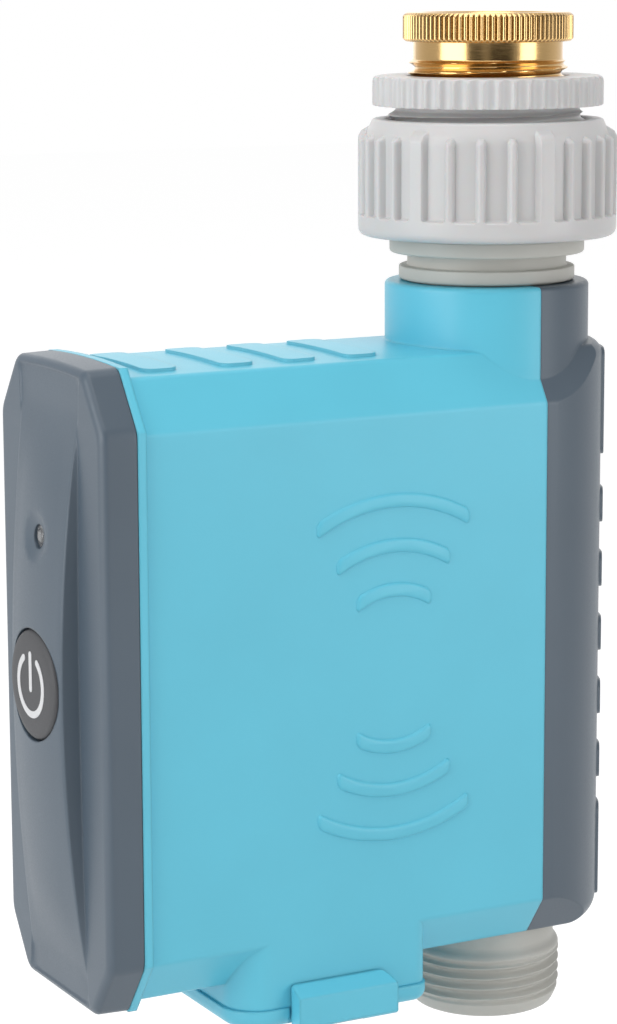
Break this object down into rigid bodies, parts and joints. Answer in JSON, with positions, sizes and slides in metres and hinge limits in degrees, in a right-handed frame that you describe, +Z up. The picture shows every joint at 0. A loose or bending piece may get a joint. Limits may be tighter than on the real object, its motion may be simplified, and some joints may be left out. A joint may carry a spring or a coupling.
{
  "type": "smart water timer",
  "caption": "Battery-powered tap timer: flat blue case on a vertical water pipe, with a ribbed swivel nut, thread adapters above, a threaded outlet below and a push button in front.",
  "frame": {"origin": "on the axis at the bottom of the tap's thread in the brass adapter, 0.1 mm above the washer", "axes": "+Z up along the water pipe, out of the tap's socket; the front panel and its button face -Y; +X is to the right seen from the front"},
  "size_m": [0.0454, 0.1055, 0.1694],
  "materials": {
    "blue_plastic": "smooth satin",
    "slate_plastic": "fine satin",
    "light_grey_plastic": "smooth satin",
    "warm_grey_plastic": "smooth satin",
    "charcoal_plastic": "fine matte",
    "brass": "polished",
    "black_rubber": "matte",
    "red_rubber": "matte",
    "lens": "clear, slightly smoked",
    "board": "solder mask",
    "black_plastic": "matte",
    "white_plastic": "moulded",
    "steel": "bright",
    "nickel": "plated",
    "ball_chrome": "polished",
    "can_aluminium": "satin",
    "cell_jacket": "gloss wrap",
    "filter_plastic": "moulded"
  },
  "bodies": {
    "housing": {"front_housing": "blue_plastic", "rear_housing": "slate_plastic", "front_cover": "slate_plastic", "cover_gasket": "black_rubber", "led_light_pipe": "lens", "status_led": "white_plastic", "circuit_board": "board", "board_screws": "steel", "radio_module": "nickel", "board_capacitor": "can_aluminium", "tact_switch": "black_plastic", "hinge_pin": "steel", "upper_contacts": "nickel", "valve_body": "warm_grey_plastic", "valve_bonnet": "warm_grey_plastic", "bonnet_seal": "black_rubber", "seat_lower": "white_plastic", "seat_upper": "white_plastic", "position_sensor": "black_plastic", "compound_shaft": "steel", "gear_motor": "steel", "gearbox_front_plate": "black_plastic", "gearbox_rear_plate": "black_plastic", "gearbox_screws": "steel", "case_screws": "steel", "case_seal": "black_rubber", "motor_leads": "red_rubber", "battery_leads": "red_rubber", "inlet_sleeve": "warm_grey_plastic", "inlet_filter": "filter_plastic", "battery_cell_1": "cell_jacket", "battery_cell_2": "cell_jacket", "battery_cell_3": "cell_jacket", "battery_cell_4": "cell_jacket"},
    "swivel_nut": {"swivel_nut": "light_grey_plastic"},
    "nut_washer": {"nut_washer": "black_rubber"},
    "reducer": {"reducer": "light_grey_plastic"},
    "adapter_washer": {"adapter_washer": "black_rubber"},
    "tap_adapter": {"tap_adapter": "brass", "tap_washer": "black_rubber"},
    "power_button": {"power_button": "charcoal_plastic", "button_seal": "black_rubber"},
    "switch_plunger": {"switch_plunger": "white_plastic"},
    "battery_cover": {"battery_cover": "blue_plastic", "battery_gasket": "black_rubber", "cover_contacts": "nickel", "latch_pin": "steel"},
    "battery_latch": {"battery_latch": "blue_plastic"},
    "valve": {"valve_ball": "ball_chrome", "valve_stem": "brass", "stem_seals": "black_rubber", "output_gear": "white_plastic", "gear_magnet": "nickel"},
    "compound_gear": {"compound_gear": "white_plastic"},
    "motor_pinion": {"motor_pinion": "brass"}
  },
  "joints": [
    {"name": "nut_spin", "type": "hinge", "parent": "housing", "child": "swivel_nut", "pos_m": [0, 0, -0.0175], "axis": [0, 0, 1], "continuous": true},
    {"name": "reducer_rise", "type": "slide", "parent": "swivel_nut", "child": "nut_washer", "axis": [0, 0, 1], "range_m": [0, 0.00923]},
    {"name": "reducer_unscrew", "type": "hinge", "parent": "nut_washer", "child": "reducer", "pos_m": [0, 0, -0.0125], "axis": [0, 0, 1], "range_deg": [0, 1440]},
    {"name": "adapter_rise", "type": "slide", "parent": "reducer", "child": "adapter_washer", "axis": [0, 0, 1], "range_m": [0, 0.00906]},
    {"name": "adapter_unscrew", "type": "hinge", "parent": "adapter_washer", "child": "tap_adapter", "pos_m": [0, 0, -0.0065], "axis": [0, 0, 1], "range_deg": [0, 1800]},
    {"name": "button_press", "type": "slide", "parent": "housing", "child": "power_button", "axis": [0, 1, 0], "range_m": [0, 0.0008], "stiffness_N_per_m": 200, "springref_m": -0.005},
    {"name": "plunger_press", "type": "slide", "parent": "housing", "child": "switch_plunger", "axis": [0, 1, 0], "range_m": [0, 0.00025]},
    {"name": "battery_cover_hinge", "type": "hinge", "parent": "housing", "child": "battery_cover", "pos_m": [-0.0212, -0.0397, -0.1491], "axis": [0, 1, 0], "range_deg": [0, 110]},
    {"name": "latch_hinge", "type": "hinge", "parent": "battery_cover", "child": "battery_latch", "pos_m": [0.0208, -0.0389, -0.1499], "axis": [0, 1, 0], "range_deg": [0, 60]},
    {"name": "valve_turn", "type": "hinge", "parent": "housing", "child": "valve", "pos_m": [0, -0.015, -0.0665], "axis": [0, 1, 0], "range_deg": [0, 90]},
    {"name": "compound_spin", "type": "hinge", "parent": "housing", "child": "compound_gear", "pos_m": [-0.0069, -0.026, -0.08182], "axis": [0, 1, 0], "range_deg": [-270, 0]},
    {"name": "pinion_spin", "type": "hinge", "parent": "housing", "child": "motor_pinion", "pos_m": [0.00349, -0.029, -0.07582], "axis": [0, 1, 0], "range_deg": [0, 810]}
  ],
  "couplings": [
    {"joint": "reducer_unscrew", "follows": "reducer_rise", "rad_per_m": 2721.2},
    {"joint": "adapter_unscrew", "follows": "adapter_rise", "rad_per_m": 3463.7},
    {"joint": "plunger_press", "follows": "button_press", "ratio": 0.3125},
    {"joint": "compound_spin", "follows": "valve_turn", "ratio": -3},
    {"joint": "pinion_spin", "follows": "valve_turn", "ratio": 9}
  ]
}
